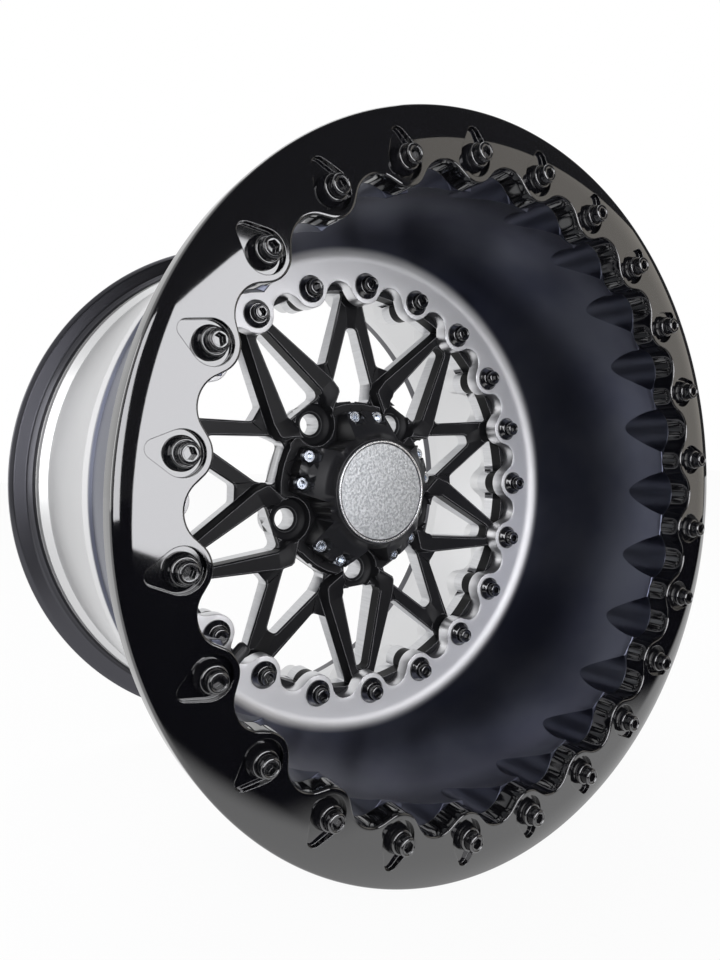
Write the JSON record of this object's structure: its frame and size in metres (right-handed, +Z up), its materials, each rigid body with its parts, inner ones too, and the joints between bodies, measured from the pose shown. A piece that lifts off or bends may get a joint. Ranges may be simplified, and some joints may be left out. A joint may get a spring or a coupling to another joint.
{
  "type": "beadlock wheel",
  "caption": "Deep-dish beadlock wheel with a scalloped bolted clamp ring, bolted outer and inner barrel halves, an open V-spoke centre and a hub cap.",
  "frame": {"origin": "centre of the hub mounting face, on the wheel axis", "axes": "+Y along the wheel axis towards the vehicle, so the front of the wheel faces -Y; +Z up; +X to the right seen from the front"},
  "size_m": [0.4094, 0.308, 0.4092],
  "materials": {
    "gloss_black": "gloss black over aluminium",
    "black_steel": "black oxide, polished",
    "zinc_steel": "bright zinc",
    "dark_barrel": "satin blue-black anodised",
    "bare_barrel": "satin bare, machined",
    "seal_rubber": "matt",
    "satin_black": "satin black with bare machined walls",
    "silver_disc": "lightly hammered, satin",
    "core_brass": "turned",
    "cap_plastic": "moulded, knurled"
  },
  "bodies": {
    "root": {"clamp_ring": "gloss_black", "clamp_bolts": "black_steel", "clamp_washers": "black_steel", "mouth_inserts": "zinc_steel", "outer_barrel": "dark_barrel", "inner_barrel": "bare_barrel", "barrel_seal": "seal_rubber", "wheel_centre": "satin_black", "assembly_bolts": "black_steel", "assembly_washers": "black_steel", "flange_inserts": "zinc_steel", "hub_cap_body": "satin_black", "hub_cap_disc": "silver_disc", "disc_seal": "seal_rubber", "hub_cap_screws": "zinc_steel", "valve_stem": "black_steel", "valve_seal": "seal_rubber", "valve_washer": "black_steel", "valve_nut": "black_steel", "valve_core": "core_brass", "valve_cap": "cap_plastic"}
  },
  "joints": []
}
